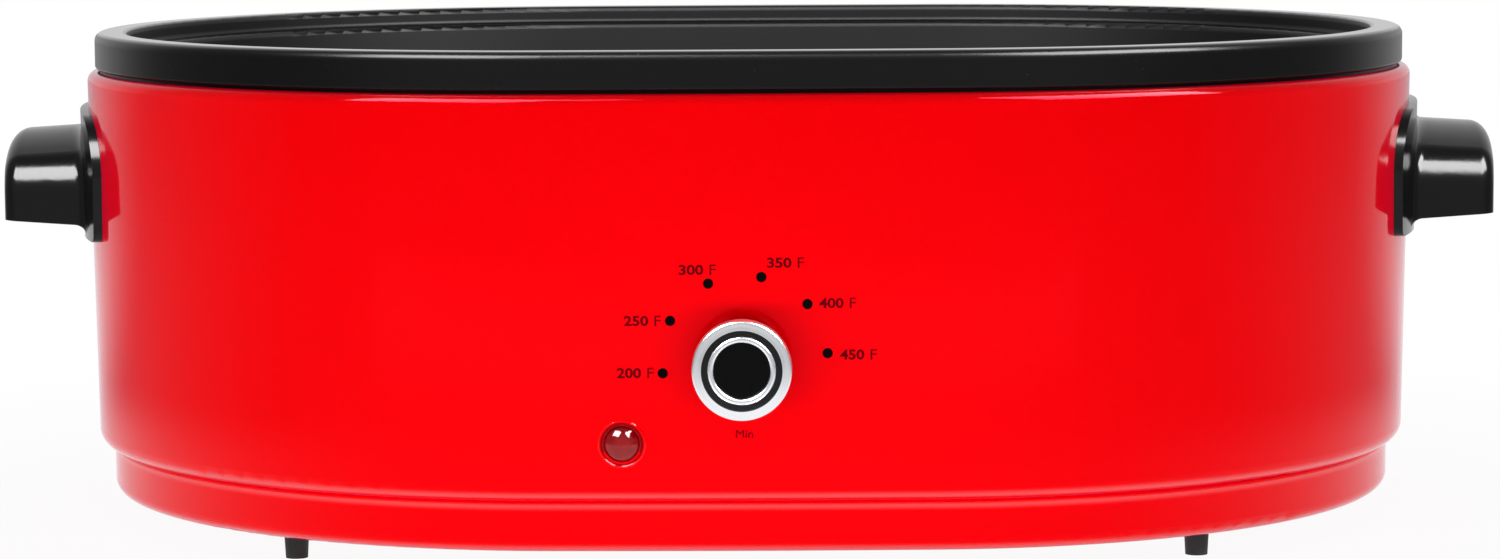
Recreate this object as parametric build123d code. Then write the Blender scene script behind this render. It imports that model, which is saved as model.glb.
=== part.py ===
from build123d import *
import os
from math import asin, cos, degrees, radians, sin, sqrt

# Electric roaster oven: an oval enamelled body with a lift-out cookwell, a thermostat knob, a
# pilot lamp and a handle at each end.
#
# Millimetres, +Z up, +X to the right of someone facing the knob, who looks along +Y.
# The origin is on the ground, in the middle of the length and of the depth with the knob.
# Everything is built about the middle of the oval body and moved to that origin at the end.

# ---- the oval body -------------------------------------------------------------------------
half_length = 260.8      # shell, where it is widest, just under its shoulder
half_depth = 196.5
end_easing = 1.0         # how much smaller the end arcs are than the half depth
foot_height = 9.2
base_height = 19.0       # skirt of the base pan
shell_height = 146.3     # hem to shoulder
shell_taper = 2.3        # how far the wall leans in from shoulder to hem
base_step = 8.0          # the base pan stands in from the widest outline by this
steel = 1.0              # enamelled sheet
shoulder_radius = 4.0
hem_radius = 6.0
top_flange = 15.0        # widths of the turned-in flanges, from the widest outline
hem_flange = 17.0
base_top_radius = 1.5
base_foot_radius = 5.0

# ---- cookwell ------------------------------------------------------------------------------
rim_setback = 3.1        # the rim stands in from the shell by this
rim_height = 14.2
rim_width = 13.0
rim_edge_radius = 3.2
rim_hem = 6.0            # turned-in lower edge that the cookwell rests on
seat_depth = 7.0         # lid seat, below the top of the rim
seat_width = 5.4
cook_draft = 7.0         # how far the wall leans in, from seat to floor
cook_wall = 1.2
cook_corner = 25.0

# ---- heatwell, heater and insulation -------------------------------------------------------
liner = 0.8              # aluminised sheet
flange_start = 5.0       # outer edge of the heatwell's flange
well_inset = 18.8        # heating wall, from the widest outline to its inner face
well_corner = 22.0
well_rise = 35.0         # base pan's floor to the underside of the heatwell
well_gap = 4.3           # air under the cookwell
flat_start = 30.0        # how far in from the wall the flat floors begin
band_thickness = 1.0     # mica strip that carries the ribbon
band_lift = 15.0         # lower edge of the strip, above the heatwell's floor
band_height = 70.0
band_gap = 34.0          # half the opening in front, for the thermostat
ribbon_width = 5.0
ribbon_thickness = 0.4
ribbon_turns = 5
ribbon_end = 46.0        # half the opening between the ribbon's ends
lug_thickness = 1.5
lug_overlap = 9.0        # of the lug on the band
ear_reach = 8.0          # how far the lug's ear stands out
ear_height = 33.0
spring_radius = 2.6
spring_gauge = 0.5
spring_turns = 12
blanket_gap = 0.3
blanket_inner = 16.0
blanket_lift = 15.0      # lower edge, above the hem
blanket_drop = 9.0       # upper edge, below the shoulder
window_side = 66.0       # opening in the blanket behind the controls
window_above = 9.5       # reach of that opening above the heater band
shield_gap = 8.0         # reflector plate, below the heatwell
shield_inset = 38.0

# ---- ties, feet ----------------------------------------------------------------------------
stud_radius = 2.5
stud_inset = 70.0
stud_angle = 45.0        # round the end arcs, from the long axis
spacer_radius = 5.0
nut_height = 4.0
nut_flats = 8.0
foot_inset = 23.5
foot_angle = 54.0
foot_radius = 4.6
foot_taper = 0.5
screw_radius = 1.6
screw_head = 2.8

# ---- knob and thermostat -------------------------------------------------------------------
knob_rise = 50.3         # knob's axis, above the hem
knob_radius = 17.7
knob_stand = 22.0        # wall to the face of the knob
knob_clearance = 1.2     # skirt to wall
bezel_width = 3.35
bezel_slope = 0.6        # fall of its face, from the inner edge to the outer
bezel_depth = 7.0
bezel_sheet = 1.15
ring_radius = 12.15
ring_width = 2.25
ring_rise = 1.6
cap_rise = 0.9
dial_recess = 2.0        # dark ring, below the face of the bezel
skirt_radius = 14.2
skirt_bore = 11.0
skirt_flare = 1.0        # how far the skirt widens up to the head
head_cone = 2.0          # height of the cone under the head
hub_start = 9.0          # wall to the solid hub
shaft_radius = 3.0
shaft_reach = 18.0       # wall to the outer end of the shaft
shaft_flat = 2.2         # axis to the flat on the shaft
running_clearance = 0.05
spring_thickness = 0.5
bushing_radius = 5.0
bushing_reach = 7.0
bushing_flange = 7.0
jam_nut_flats = 14.0
jam_nut_height = 3.0
washer_radius = 8.5
washer_thickness = 0.8
plate_width = 46.0
plate_height = 36.0
control_width = 40.0     # ceramic body
control_height = 30.0
control_depth = 11.0
pocket_width = 24.0
pocket_height = 20.0
pocket_depth = 7.5
cam_radius = 7.0
cam_throw = 1.0
cam_thickness = 5.0
blade_thickness = 0.4
blade_width = 5.0
tab_width = 6.3
tab_thickness = 0.8
tab_length = 7.0
tab_root = 2.0           # of a terminal, inside the ceramic
shaft_tip = 2.0          # of the shaft, past the pocket

# ---- pilot lamp ----------------------------------------------------------------------------
lamp_side = -43.3        # left of the knob
lamp_rise = 21.6         # above the hem
lens_radius = 6.5
lens_dome = 4.2
lens_wall = 1.3
lens_depth = 7.0
collar_width = 1.9
collar_rise = 0.7
lamp_flange = 8.2
retainer_radius = 9.2
bulb_radius = 2.4

# ---- handles -------------------------------------------------------------------------------
handle_foot = 82.0       # lower edge of the flange, above the hem
flange_height = 50.0
flange_half_width = 72.0
flange_foot = 67.0       # half width at the lower edge
flange_thickness = 3.2
flange_crown = 4.0       # how far the upper edge swells
flange_top_corner = 22.0
flange_low_corner = 4.0
root_flare = 4.5         # radius between the grip and the flange
grip_reach = 31.5        # wall to the outer face of the grip
grip_drop = 7.2          # lower edge of the grip, above that of the flange
grip_height = 32.5
grip_half_width = 46.0   # at the outer face
grip_draft = 3.5         # degrees by which the grip tapers outwards
grip_crown = 13.0        # how far the top swells
grip_shoulder = 16.0
grip_bow = 3.0           # how far the outer face swells
grip_edge = 6.0          # radius round the outer face
grip_wall = 5.0
root_wall = 10.0         # solid part behind the finger recess
recess_ceiling = 9.0
recess_corner = 5.0
handle_screw_side = 32.0
handle_screw_radius = 2.0
handle_screw_head = 3.8
handle_screw_bite = 8.0
backing_thickness = 1.5
backing_half_width = 44.0
backing_height = 22.0

# ---- cord inlet and wiring -----------------------------------------------------------------
gland_rise = 23.0        # above the hem, in the middle of the back
gland_bore = 4.0
gland_radius = 9.5
gland_neck = 6.9
gland_flange = 3.0
gland_length = 7.0
gland_nut_flats = 18.0
gland_nut_height = 3.4
block_width = 44.0
block_depth = 18.0
block_height = 13.0
block_inset = 46.0       # from the back of the outline to the middle of the block
pole_pitch = 14.0
lead_run = 20.0          # straight run of a lead out of the block
lead_radius = 1.3
lead_climb = 16.0        # of a lead behind the heatwell, before it turns to its tab
thin_lead_radius = 0.8
pilot_lead_lift = 4.0    # of the lamp's lead over the hem
pilot_lead_side = 5.0    # from the lead that shares its pole
wide_bend = 8.0          # bend radii of the leads
lead_bend = 5.0
tight_bend = 3.0
thin_bend = 2.0
earth_side = -65.0
earth_depth = 36.0       # from the terminal block forward to the earth screw
fit = 0.1                # radial gap round a piece that passes through a sheet
wall_fit = 0.3           # gap between a flat piece and the curved, leaning wall

# ---- heights and places worked out from the sizes ------------------------------------------
end_radius = half_depth - end_easing
side_radius = (half_length**2 + half_depth**2 - 2 * half_length * end_radius) / (2 * end_easing)
end_centre = half_length - end_radius
side_centre = side_radius - half_depth
side_angle = degrees(asin(end_centre / (side_radius - end_radius)))

base_z = foot_height
hem_z = base_z + base_height
shoulder_z = hem_z + shell_height
rim_z = shoulder_z + liner
rim_top = rim_z + rim_height
seat_z = rim_top - seat_depth
base_floor = base_z + steel
well_floor = base_floor + well_rise + liner
cook_floor = well_floor + well_gap + cook_wall
well_outer = well_inset - liner
band_z = well_floor + band_lift
band_top = band_z + band_height
shield_z = well_floor - liner - shield_gap
seat_inset = rim_setback + rim_width
cook_inset = seat_inset + seat_width
ribbon_inset = well_outer - band_thickness - ribbon_thickness
ribbon_pitch = (band_height - 2 * ribbon_width) / (ribbon_turns - 1)
spring_end = band_gap - 2 * lug_thickness
knob_z = hem_z + knob_rise
lamp_z = hem_z + lamp_rise
gland_z = hem_z + gland_rise
handle_z = hem_z + handle_foot
grip_z = handle_z + grip_drop
grip_top = grip_z + grip_height
grip_middle = grip_z + grip_height / 2
plate_back = -(steel + wall_fit + washer_thickness + steel)
control_back = plate_back - control_depth
tab_level = plate_back - control_depth / 2
lens_back = -(steel + wall_fit + steel)
block_y = half_depth - block_inset
earth_y = block_y - earth_depth
pole_z = base_floor + block_height / 2
lead_z = base_floor + lead_radius + fit


# ---- plan and section helpers --------------------------------------------------------------
def direction(angle):
    return Vector(cos(radians(angle)), sin(radians(angle)), 0)


def wall_inset(z):
    """How far the shell's outer face stands in from its widest outline at a height."""
    return shell_taper * (shoulder_z - z) / shell_height


def plan_arcs():
    """The oval as four tangent arcs: centre, radius, start angle and sweep."""
    end_sweep = 180 - 2 * side_angle
    return [
        (Vector(end_centre, 0), end_radius, side_angle - 90, end_sweep),
        (Vector(0, -side_centre), side_radius, 90 - side_angle, 2 * side_angle),
        (Vector(-end_centre, 0), end_radius, 90 + side_angle, end_sweep),
        (Vector(0, side_centre), side_radius, 270 - side_angle, 2 * side_angle),
    ]


def oval(inset):
    """The flat oval, set in from the widest outline."""
    return make_face([CenterArc(centre, radius - inset, start, sweep)
                      for centre, radius, start, sweep in plan_arcs()])


def slab(inset, z, thickness):
    return Pos(0, 0, z) * extrude(oval(inset), thickness)


def sector(profile, centre, radius, start, sweep):
    """Turn a section about one arc's centre. The section's x is measured outwards from the arc."""
    out = direction(start)
    frame = Plane(origin=centre, x_dir=out, z_dir=(out.Y, -out.X, 0)).location
    return revolve(frame * (Pos(radius, 0) * profile), axis=Axis(centre, (0, 0, 1)), revolution_arc=sweep)


def ring(profile):
    """Carry a section all round the oval."""
    whole = Part()
    for arc in plan_arcs():
        whole += sector(profile, *arc)
    return whole


def sheet(points, bends, thickness):
    """Section of bent sheet: the path of one face, the bend radii there, the sheet on its left."""
    path = [Vector(*point) for point in points]
    runs = [(b - a).normalized() for a, b in zip(path, path[1:])]
    sides = [Vector(-run.Y, run.X) for run in runs]
    other = [path[0] + sides[0] * thickness]
    other_bends = []
    for i, bend in enumerate(bends):
        other.append(path[i + 1] + (sides[i] + sides[i + 1]) * (thickness / (1 + sides[i].dot(sides[i + 1]))))
        turns_left = runs[i].cross(runs[i + 1]).Z > 0
        other_bends.append(bend - thickness if turns_left else bend + thickness)
    other.append(path[-1] + sides[-1] * thickness)
    radii = [0, *bends, 0, 0, *reversed(other_bends), 0]
    return make_face(FilletPolyline(*path, *reversed(other), radius=radii, close=True))


def wall_strip(outer, inner, low, high):
    """Section of a layer that follows the shell's wall, from its outer face inwards."""
    corners = [(-wall_inset(low) - outer, low), (-wall_inset(high) - outer, high),
               (-wall_inset(high) - inner, high), (-wall_inset(low) - inner, low)]
    return make_face(Polyline(*corners, close=True))


def end_layer(side, outer, inner, low, high, half_width):
    """A piece of such a layer round one end, side 1 on the right and -1 on the left."""
    spread = degrees(asin(half_width / end_radius))
    middle = 0 if side > 0 else 180
    return sector(wall_strip(outer, inner, low, high), Vector(side * end_centre, 0), end_radius,
                  middle - spread, 2 * spread)


def on_wall(centre, radius, angle, z):
    """A place on the shell's outer face: local z points outwards and local y points up."""
    out = direction(angle)
    origin = centre + out * (radius - wall_inset(z)) + Vector(0, 0, z)
    return Plane(origin=origin, x_dir=(-out.Y, out.X, 0), z_dir=out).location


def on_front(side, z):
    return on_wall(Vector(0, side_centre), side_radius, 270 + degrees(asin(side / side_radius)), z)


def on_back(z):
    return on_wall(Vector(0, -side_centre), side_radius, 90, z)


def on_end(side, along, z):
    spread = degrees(asin(along / end_radius))
    return on_wall(Vector(side * end_centre, 0), end_radius, spread if side > 0 else 180 + spread, z)


def round_the_ends(inset, angle):
    """Four points in plan, one in each quarter, set in from the outline on the end arcs."""
    reach = end_radius - inset
    across = end_centre + reach * cos(radians(angle))
    along = reach * sin(radians(angle))
    return [(x, y) for y in (-along, along) for x in (-across, across)]


# ---- round pieces and fasteners ------------------------------------------------------------
def rod(radius, low, high):
    return Pos(0, 0, low) * Cylinder(radius, high - low, align=(Align.CENTER, Align.CENTER, Align.MIN))


def tube(outer, inner, low, high):
    return rod(outer, low, high) - rod(inner, low, high)


def block(width, depth, low, high):
    return Pos(0, 0, low) * Box(width, depth, high - low, align=(Align.CENTER, Align.CENTER, Align.MIN))


def turned(points):
    """A turned piece about local z, from points of radius and height."""
    face = make_face(Polyline(*[(radius, 0, height) for radius, height in points], close=True))
    return revolve(face, axis=Axis.Z)


def hex_nut(flats, bore, low, high):
    hexagon = RegularPolygon(flats / 2, 6, major_radius=False)
    return Pos(0, 0, low) * extrude(hexagon, high - low) - rod(bore, low, high)


def screw(shank, head, head_height, length):
    """Slotted pan-head screw: the head stands on z = 0 and the shank runs down from it."""
    slot = block(2 * head, head / 4, head_height / 2, head_height)
    return rod(shank, -length, 0) + rod(head, 0, head_height) - slot


def wire(radius, points, bend):
    """A lead along straight runs with rounded corners."""
    path = FilletPolyline(*points, radius=bend)
    return sweep(Plane(path @ 0, z_dir=path % 0) * Circle(radius), path=path)


# ---- sheet-metal bodies --------------------------------------------------------------------
def make_outer_shell():
    section = sheet([(-hem_flange, hem_z), (-shell_taper, hem_z), (0, shoulder_z), (-top_flange, shoulder_z)],
                    [hem_radius, shoulder_radius], steel)
    shell = ring(section)
    collar = tube(lens_radius + fit + collar_width, lens_radius + fit, -steel / 2, collar_rise)
    shell += on_front(lamp_side, lamp_z) * collar
    shell -= on_front(lamp_side, lamp_z) * rod(lens_radius + fit, -2 * steel, 2 * steel)
    shell -= on_front(0, knob_z) * rod(bushing_radius + fit, -2 * steel, 2 * steel)
    shell -= on_back(gland_z) * rod(gland_neck + fit, -2 * steel, 2 * steel)
    for side, along in handle_screw_places():
        shell -= on_end(side, along, grip_middle) * rod(handle_screw_radius + fit, -2 * steel, 2 * steel)
    return shell


def make_base_pan():
    wall = sheet([(-flat_start, base_z), (-base_step, base_z), (-base_step, hem_z), (-hem_flange, hem_z)],
                 [base_foot_radius, base_top_radius], steel)
    pan = ring(wall) + slab(flat_start, base_z, steel)
    for x, y in round_the_ends(foot_inset, foot_angle):
        pan -= Pos(x, y) * rod(screw_radius + fit, base_z - steel, base_floor + steel)
    for x, y in round_the_ends(stud_inset, stud_angle):
        pan -= Pos(x, y) * rod(stud_radius + fit, base_z - steel, base_floor + steel)
    return pan - Pos(earth_side, earth_y) * rod(screw_radius, base_z - steel, base_floor + steel)


def make_heatwell():
    wall = sheet([(-flange_start, rim_z), (-well_inset, rim_z), (-well_inset, well_floor),
                  (-well_inset - flat_start, well_floor)], [3 * liner, well_corner], liner)
    return ring(wall) + slab(well_inset + flat_start, well_floor - liner, liner)


def make_cookwell():
    floor_inset = cook_inset + cook_draft
    wall = sheet([(-rim_setback - rim_hem, rim_z), (-rim_setback, rim_z), (-rim_setback, rim_top),
                  (-seat_inset, rim_top), (-seat_inset, seat_z), (-cook_inset, seat_z),
                  (-floor_inset, cook_floor), (-floor_inset - flat_start, cook_floor)],
                 [1.25 * cook_wall, rim_edge_radius, 2 * cook_wall, 1.5 * cook_wall, 2 * cook_wall,
                  cook_corner], cook_wall)
    return ring(wall) + slab(floor_inset + flat_start, cook_floor - cook_wall, cook_wall)


# ---- heater and insulation -----------------------------------------------------------------
def layer(outer, inner, low, high):
    """A straight-walled band round the oval."""
    corners = [(-outer, low), (-outer, high), (-inner, high), (-inner, low)]
    return ring(make_face(Polyline(*corners, close=True)))


def front_gap(half_width, low, high):
    """Cutter for an opening in the front of a band."""
    return Pos(0, -half_depth, low) * Box(2 * half_width, half_depth, high - low,
                                          align=(Align.CENTER, Align.CENTER, Align.MIN))


def make_heater_band():
    band = layer(well_outer - band_thickness, well_outer, band_z, band_top)
    return band - front_gap(band_gap, band_z, band_top)


def make_heating_ribbon():
    """One ribbon, laid round the band in turns that are joined at alternate ends."""
    inner = ribbon_inset + ribbon_thickness
    ribbon = Part()
    for turn in range(ribbon_turns):
        low = band_z + ribbon_width / 2 + turn * ribbon_pitch
        loop = layer(ribbon_inset, inner, low, low + ribbon_width)
        ribbon += loop - front_gap(ribbon_end, low, low + ribbon_width)
        if turn:
            side = 1 if turn % 2 else -1
            link = layer(ribbon_inset, inner, low - ribbon_pitch, low)
            keep = Pos(side * (ribbon_end + ribbon_width / 2), -half_depth) * block(
                ribbon_width, half_depth, low - ribbon_pitch, low)
            ribbon += link & keep
    return ribbon


def element_tab_places():
    """Ends of the ribbon: low on the left, high on the right."""
    side = ribbon_end + tab_width
    return [(-side, band_z + ribbon_width), (side, band_top - ribbon_width)]


def behind_front(side, inset):
    """Depth of a face at an inset behind the front of the oval, at a distance to one side."""
    return side_centre - sqrt((side_radius - inset)**2 - side**2)


def make_element_tabs():
    """Push-on tabs at the two ends of the ribbon."""
    tabs = Part()
    for side, z in element_tab_places():
        seat = behind_front(abs(side) - tab_width / 2, ribbon_inset)
        tab = Pos(side, seat) * block(tab_width, 2 * tab_length, z - ribbon_width / 2, z + ribbon_width / 2)
        tabs += tab - layer_space(ribbon_inset)
    return tabs


def layer_space(inset):
    """Everything inside a vertical wall that stands in by an inset."""
    return slab(inset, 0, rim_top)


def make_band_lugs():
    """Steel ends of the band, each turned out at right angles to take the springs."""
    lugs = Part()
    outer = well_outer - band_thickness
    low = band_top - ear_height
    width = band_gap + lug_overlap - spring_end
    strap = layer(outer - lug_thickness, outer, low, band_top)
    ear_y = behind_front(spring_end, outer) - ear_reach / 2
    for side in (-1, 1):
        keep = Pos(side * (spring_end + width / 2), -half_depth) * block(width, half_depth, low, band_top)
        ear = block(lug_thickness, ear_reach, low, band_top)
        ear = Pos(side * (spring_end + lug_thickness / 2), ear_y) * ear
        lugs += (strap & keep) + ear
    return lugs


def make_band_springs():
    """Two springs that draw the band's ends together."""
    length = 2 * (spring_end - spring_gauge)
    y = behind_front(0, ribbon_inset) - spring_radius - 2 * spring_gauge
    helix = Helix(pitch=length / spring_turns, height=length, radius=spring_radius)
    coil = sweep(Plane(helix @ 0, z_dir=helix % 0) * Circle(spring_gauge), path=helix)
    springs = Part()
    for share in (0.25, 0.75):
        z = band_top - share * ear_height
        springs += Pos(-length / 2, y, z) * Rot(0, 90, 0) * coil
    return springs


def make_insulation_blanket():
    low = hem_z + blanket_lift
    high = shoulder_z - blanket_drop
    outer = steel + blanket_gap
    corners = [(-wall_inset(low) - outer, low), (-wall_inset(high) - outer, high),
               (-blanket_inner, high), (-blanket_inner, low)]
    blanket = ring(make_face(Polyline(*corners, close=True)))
    blanket -= front_gap(window_side, low, band_top + window_above)
    blanket -= on_back(gland_z) * block(5 * gland_neck, 5 * gland_neck, -half_depth / 2, 0)
    reach = steel + backing_thickness + 2 * handle_screw_head
    for side in (-1, 1):
        blanket -= end_layer(side, 0, reach, grip_middle - backing_height / 2 - 2,
                             grip_middle + backing_height / 2 + 2, backing_half_width + 2)
    return blanket


# ---- ties under the heatwell and feet ------------------------------------------------------
def make_heat_shield():
    shield = slab(shield_inset, shield_z - liner, liner)
    for x, y in round_the_ends(stud_inset, stud_angle):
        shield -= Pos(x, y) * rod(stud_radius + fit, shield_z - 2 * liner, shield_z + liner)
    return shield


def at_studs(piece):
    return Part() + [Pos(x, y) * piece for x, y in round_the_ends(stud_inset, stud_angle)]


def make_tie_studs():
    return at_studs(rod(stud_radius, base_z - nut_height - steel, well_floor - liner))


def make_upper_spacers():
    return at_studs(tube(spacer_radius, stud_radius + fit, shield_z, well_floor - liner))


def make_lower_spacers():
    return at_studs(tube(spacer_radius, stud_radius + fit, base_floor, shield_z - liner))


def make_tie_nuts():
    return at_studs(hex_nut(nut_flats, stud_radius, base_z - nut_height, base_z))


def make_foot():
    """Rubber foot with a pocket that takes the screw's head."""
    pocket = foot_height / 2
    foot = turned([(screw_radius + fit, pocket), (screw_head + fit, pocket), (screw_head + fit, 0),
                   (foot_radius - foot_taper, 0), (foot_radius, foot_height),
                   (screw_radius + fit, foot_height)])
    return foot


def at_feet(piece):
    return Part() + [Pos(x, y) * piece for x, y in round_the_ends(foot_inset, foot_angle)]


def make_foot_screws():
    length = foot_height / 2 + steel + nut_height
    head_height = foot_height / 5
    return at_feet(Pos(0, 0, foot_height / 2) * Rot(180, 0, 0) * screw(screw_radius, screw_head, head_height,
                                                                        length))


def make_foot_nuts():
    return at_feet(hex_nut(2 * screw_head, screw_radius, base_floor, base_floor + nut_height / 2))


# ---- handles -------------------------------------------------------------------------------
def handle_screw_places():
    return [(side, along) for side in (-1, 1) for along in (-handle_screw_side, handle_screw_side)]


def arch(half_width, foot, low, high, crown, shoulder):
    """Section seen from the end: a crowned top, round shoulders and sides that stand on a foot."""
    sides = Polyline((half_width, high - crown), (foot, low), (-foot, low), (-half_width, high - crown))
    top = ThreePointArc((half_width, high - crown), (0, high), (-half_width, high - crown))
    face = make_face([sides, top])
    return fillet(face.vertices().group_by(Axis.Y)[-1], shoulder)


def from_end(x):
    """The plane of such a section."""
    return Plane(origin=(x, 0, 0), x_dir=(0, 1, 0), z_dir=(1, 0, 0))


def make_flange():
    """The flange follows the shell's wall: wide corners above and tight ones below."""
    high = handle_z + flange_height
    outline = arch(flange_half_width, flange_foot, handle_z, high, flange_crown, flange_top_corner)
    outline = fillet(outline.vertices().group_by(Axis.Y)[0], flange_low_corner)
    layer = end_layer(1, 0, -flange_thickness, handle_z - steel, high + steel,
                      flange_half_width + flange_thickness)
    return layer & extrude(from_end(end_centre) * outline, half_length)


def make_grip():
    """The grip on its own: it tapers outwards, and its bowed outer face has a round edge."""
    wide = half_length + grip_reach
    section = arch(grip_half_width, grip_half_width, grip_z, grip_top, grip_crown, grip_shoulder)
    grip = extrude(from_end(wide) * section, -2 * grip_reach, taper=-grip_draft)
    bow_radius = (grip_half_width**2 + grip_bow**2) / (2 * grip_bow)
    grip &= Pos(wide - bow_radius, 0) * rod(bow_radius, 0, shoulder_z)
    rim = grip.faces().sort_by(Axis.X)[-1].edges()
    return fillet([edge for edge in rim if edge.center().Z > grip_z + fit], grip_edge)


def root_edges(handle):
    """Edges where the grip meets the flange."""
    edges = []
    for edge in handle.edges():
        middle = edge @ 0.5
        out = sqrt((middle.X - end_centre)**2 + middle.Y**2) - end_radius + wall_inset(middle.Z)
        inside = abs(middle.Y) < flange_foot - root_flare and handle_z + fit < middle.Z
        if abs(out - flange_thickness) < fit and inside and middle.Z < grip_top + root_flare:
            edges.append(edge)
    return edges


def finger_recess():
    """Space for the fingers, open below."""
    start = half_length + root_wall
    end = half_length + grip_reach - grip_wall
    half_width = grip_half_width - grip_wall
    plan = RectangleRounded(end - start, 2 * half_width, recess_corner)
    section = arch(half_width, half_width, handle_z - steel, grip_top - recess_ceiling, grip_crown,
                   grip_shoulder - grip_wall)
    return Pos((start + end) / 2, 0, handle_z) * extrude(plan, flange_height) & extrude(
        from_end(half_length) * section, grip_reach)


def make_handle():
    """Right-hand handle: a flange round the end of the shell and a grip that is hollow from below."""
    handle = make_flange() + (make_grip() & end_layer(1, 0, -2 * grip_reach, handle_z, shoulder_z,
                                                      flange_half_width))
    handle = fillet(root_edges(handle), root_flare) - finger_recess()
    for along in (-handle_screw_side, handle_screw_side):
        handle -= on_end(1, along, grip_middle) * rod(handle_screw_radius, -steel, handle_screw_bite)
    return handle


def make_handle_plates():
    """Curved backing strips inside the shell."""
    plates = Part()
    for side in (-1, 1):
        plates += end_layer(side, steel + fit, steel + fit + backing_thickness,
                            grip_middle - backing_height / 2, grip_middle + backing_height / 2,
                            backing_half_width)
    for side, along in handle_screw_places():
        plates -= on_end(side, along, grip_middle) * rod(handle_screw_radius + fit, -3 * backing_thickness, 0)
    return plates


def make_handle_screws():
    length = steel + backing_thickness + handle_screw_bite
    piece = Pos(0, 0, -steel - backing_thickness - wall_fit) * Rot(180, 0, 0) * screw(
        handle_screw_radius, handle_screw_head, handle_screw_head / 2, length)
    return Part() + [on_end(side, along, grip_middle) * piece for side, along in handle_screw_places()]


# ---- knob and thermostat: local z outwards from the wall -----------------------------------
def make_knob_body():
    """Black moulding: a waisted skirt, a hub and a head that carries the trim."""
    face = knob_stand - dial_recess
    inner = knob_radius - bezel_sheet
    body = turned([(0, hub_start), (skirt_bore, hub_start), (skirt_bore, knob_clearance),
                   (skirt_radius, knob_clearance),
                   (skirt_radius + skirt_flare, knob_stand - bezel_depth - head_cone),
                   (inner, knob_stand - bezel_depth), (inner, face), (0, face)])
    return body - hub_bore()


def hub_bore():
    flat = Pos(0, shaft_flat + spring_thickness + shaft_radius) * block(
        2 * shaft_radius, 2 * shaft_radius, hub_start, shaft_reach)
    return rod(shaft_radius, hub_start, shaft_reach) - flat


def make_knob_bezel():
    """Bright rim round the face and the side of the head: its face falls away outwards."""
    face = knob_stand
    inner = knob_radius - bezel_sheet
    opening = knob_radius - bezel_width
    back = face - dial_recess
    bezel = turned([(opening, back), (inner, back), (inner, face - bezel_depth),
                    (knob_radius, face - bezel_depth), (knob_radius, face - bezel_slope), (opening, face)])
    rim = bezel.edges().filter_by(GeomType.CIRCLE).sort_by(SortBy.RADIUS).group_by(Axis.Z)
    edge = [circle for group in rim for circle in group
            if abs(circle.center().Z - face + bezel_slope) < fit and circle.radius > inner]
    return fillet(edge, 0.8 * bezel_sheet)


def make_knob_ring():
    """A ring with a rounded face between the dark groove and the cap."""
    back = knob_stand - dial_recess
    ring_piece = tube(ring_radius, ring_radius - ring_width, back, back + ring_rise)
    return fillet(ring_piece.edges().group_by(Axis.Z)[-1], 0.45 * ring_width)


def make_knob_cap():
    back = knob_stand - dial_recess
    cap = rod(ring_radius - ring_width, back, back + cap_rise)
    return chamfer(cap.edges().group_by(Axis.Z)[-1], cap_rise / 3)


def make_thermostat_shaft():
    """D-shaft: its tip turns in the ceramic body and the knob is pushed on its flat."""
    tip = plate_back - pocket_depth - shaft_tip
    flat = Pos(0, shaft_flat + shaft_radius) * block(2 * shaft_radius, 2 * shaft_radius, hub_start,
                                                     shaft_reach)
    return rod(shaft_radius, tip, shaft_reach) - flat


def make_knob_spring():
    half = sqrt(shaft_radius**2 - (shaft_flat + spring_thickness)**2)
    middle = shaft_flat + spring_thickness / 2
    return Pos(0, middle) * block(2 * half, spring_thickness, hub_start + spring_thickness,
                                    shaft_reach - spring_thickness)


def make_thermostat_cam():
    low = plate_back - steel - running_clearance - cam_thickness
    cam = Pos(0, cam_throw) * rod(cam_radius, low, low + cam_thickness)
    return cam - rod(shaft_radius, low, low + cam_thickness)


def make_thermostat_bushing():
    bore = shaft_radius + running_clearance
    return tube(bushing_radius, bore, plate_back, bushing_reach) + tube(
        bushing_flange, bore, plate_back - steel, plate_back)


def make_thermostat_nut():
    return hex_nut(jam_nut_flats, bushing_radius, wall_fit, wall_fit + jam_nut_height)


def make_bushing_washer():
    low = plate_back + steel
    return tube(washer_radius, bushing_radius, low, low + washer_thickness)


def make_thermostat_plate():
    plate = block(plate_width, plate_height, plate_back, plate_back + steel)
    return plate - rod(bushing_radius, plate_back, plate_back + steel)


def make_thermostat_body():
    """Ceramic block with a pocket for the cam and a blind hole for the end of the shaft."""
    body = block(control_width, control_height, control_back, plate_back)
    body -= block(pocket_width, pocket_height, plate_back - pocket_depth, plate_back)
    body -= rod(shaft_radius + running_clearance, plate_back - pocket_depth - shaft_tip - fit, plate_back)
    for (x, y), (width, height) in tab_places():
        body -= Pos(x, y) * block(width, height, tab_level - tab_thickness / 2, tab_level + tab_thickness / 2)
    return body


def tab_places():
    """The two terminals: one points down on the right, one points left."""
    down = ((pocket_width / 2, -control_height / 2 - tab_length / 2 + tab_root), (tab_width, tab_length))
    left = ((-control_width / 2 - tab_length / 2 + tab_root, -tab_width / 2), (tab_length, tab_width))
    return [down, left]


def make_thermostat_tabs():
    return Part() + [Pos(x, y) * block(width, height, tab_level - tab_thickness / 2,
                                       tab_level + tab_thickness / 2)
                     for (x, y), (width, height) in tab_places()]


def make_contact_blades():
    """Two leaf springs across the pocket with a contact between them."""
    level = plate_back - pocket_depth + blade_width / 2 + fit
    low = cam_radius + cam_throw + blade_thickness
    high = pocket_height / 2 - blade_thickness
    blades = Part()
    for y in (low, high):
        blades += Pos(0, y + blade_thickness / 2) * block(pocket_width, blade_thickness,
                                                          level - blade_width / 2, level + blade_width / 2)
    return blades


def make_sensor_blade():
    """Bimetal plate on the back of the control with a button against the heatwell."""
    reach = well_outer - wall_inset(knob_z)
    plate = block(2 * blade_width, pocket_height, control_back - blade_thickness, control_back)
    return plate + rod(blade_width / 2, -reach, control_back - blade_thickness)


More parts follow.
